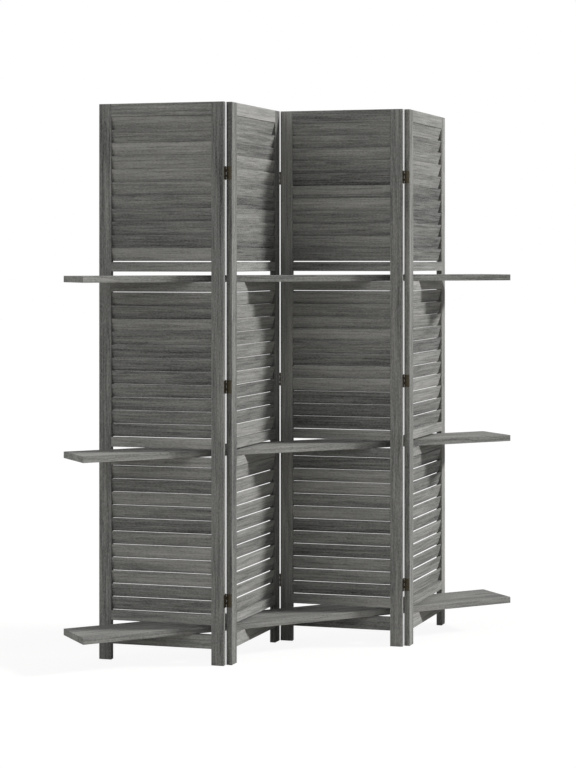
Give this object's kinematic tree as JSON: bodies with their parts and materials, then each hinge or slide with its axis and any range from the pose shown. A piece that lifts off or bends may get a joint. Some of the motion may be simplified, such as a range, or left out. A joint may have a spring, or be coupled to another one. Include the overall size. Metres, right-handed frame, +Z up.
{
  "type": "folding screen with shelves",
  "caption": "Zig-zag folding room divider of hinged louvred wooden panels, with long shelf boards threaded straight through slots in all the panels.",
  "frame": {"origin": "on the floor under the middle of the row of panels", "axes": "+X along the shelf boards, to the right as seen from the front; +Y from the front to the back; +Z up"},
  "size_m": [1.5002, 0.2802, 1.7],
  "materials": {
    "panel_wood": "grey washed, matt",
    "shelf_wood": "grey washed, matt",
    "dowel_wood": "bare",
    "hinge_steel": "dark bronze, satin",
    "screw_steel": "dark bronze, satin"
  },
  "bodies": {
    "lower_shelf": {"lower_shelf": "shelf_wood"},
    "middle_shelf": {"middle_shelf": "shelf_wood"},
    "upper_shelf": {"upper_shelf": "shelf_wood"},
    "panel_1": {"panel_1_left_stile": "panel_wood", "panel_1_right_stile": "panel_wood", "panel_1_top_rail": "panel_wood", "panel_1_upper_shelf_rails": "panel_wood", "panel_1_middle_shelf_rails": "panel_wood", "panel_1_lower_shelf_rail": "panel_wood", "panel_1_bottom_rail": "panel_wood", "panel_1_upper_louvres": "panel_wood", "panel_1_middle_louvres": "panel_wood", "panel_1_lower_louvres": "panel_wood", "panel_1_dowels": "dowel_wood", "panel_1_hinge_screws": "screw_steel", "hinges_1_2_left_leaves": "hinge_steel", "hinges_1_2_pins": "hinge_steel"},
    "panel_2": {"panel_2_left_stile": "panel_wood", "panel_2_right_stile": "panel_wood", "panel_2_top_rail": "panel_wood", "panel_2_upper_shelf_rails": "panel_wood", "panel_2_middle_shelf_rails": "panel_wood", "panel_2_lower_shelf_rail": "panel_wood", "panel_2_bottom_rail": "panel_wood", "panel_2_upper_louvres": "panel_wood", "panel_2_middle_louvres": "panel_wood", "panel_2_lower_louvres": "panel_wood", "panel_2_dowels": "dowel_wood", "panel_2_hinge_screws": "screw_steel", "hinges_1_2_right_leaves": "hinge_steel", "hinges_2_3_left_leaves": "hinge_steel", "hinges_2_3_pins": "hinge_steel"},
    "panel_3": {"panel_3_left_stile": "panel_wood", "panel_3_right_stile": "panel_wood", "panel_3_top_rail": "panel_wood", "panel_3_upper_shelf_rails": "panel_wood", "panel_3_middle_shelf_rails": "panel_wood", "panel_3_lower_shelf_rail": "panel_wood", "panel_3_bottom_rail": "panel_wood", "panel_3_upper_louvres": "panel_wood", "panel_3_middle_louvres": "panel_wood", "panel_3_lower_louvres": "panel_wood", "panel_3_dowels": "dowel_wood", "panel_3_hinge_screws": "screw_steel", "hinges_2_3_right_leaves": "hinge_steel", "hinges_3_4_left_leaves": "hinge_steel", "hinges_3_4_pins": "hinge_steel"},
    "panel_4": {"panel_4_left_stile": "panel_wood", "panel_4_right_stile": "panel_wood", "panel_4_top_rail": "panel_wood", "panel_4_upper_shelf_rails": "panel_wood", "panel_4_middle_shelf_rails": "panel_wood", "panel_4_lower_shelf_rail": "panel_wood", "panel_4_bottom_rail": "panel_wood", "panel_4_upper_louvres": "panel_wood", "panel_4_middle_louvres": "panel_wood", "panel_4_lower_louvres": "panel_wood", "panel_4_dowels": "dowel_wood", "panel_4_hinge_screws": "screw_steel", "hinges_3_4_right_leaves": "hinge_steel"}
  },
  "joints": [
    {"name": "panels_fold", "type": "hinge", "parent": "lower_shelf", "child": "panel_2", "pos_m": [-0.15561, 0, 0], "axis": [0, 0, 1], "range_deg": [-4.4, 48]},
    {"name": "hinges_1_2", "type": "hinge", "parent": "panel_2", "child": "panel_1", "pos_m": [-0.31122, -0.12622, 0], "axis": [0, 0, 1], "range_deg": [-96, 8.8]},
    {"name": "hinges_2_3", "type": "hinge", "parent": "panel_2", "child": "panel_3", "pos_m": [0, 0.12622, 0], "axis": [0, 0, 1], "range_deg": [-96, 8.8]},
    {"name": "hinges_3_4", "type": "hinge", "parent": "panel_3", "child": "panel_4", "pos_m": [0.31122, -0.12622, 0], "axis": [0, 0, 1], "range_deg": [-8.8, 96]},
    {"name": "middle_shelf_slide", "type": "slide", "parent": "lower_shelf", "child": "middle_shelf", "axis": [1, 0, 0], "range_m": [-0.45, 0.45]},
    {"name": "upper_shelf_slide", "type": "slide", "parent": "lower_shelf", "child": "upper_shelf", "axis": [1, 0, 0], "range_m": [-0.45, 0.45]}
  ],
  "couplings": [
    {"joint": "hinges_1_2", "follows": "panels_fold", "ratio": -2},
    {"joint": "hinges_2_3", "follows": "panels_fold", "ratio": -2},
    {"joint": "hinges_3_4", "follows": "panels_fold", "ratio": 2}
  ]
}
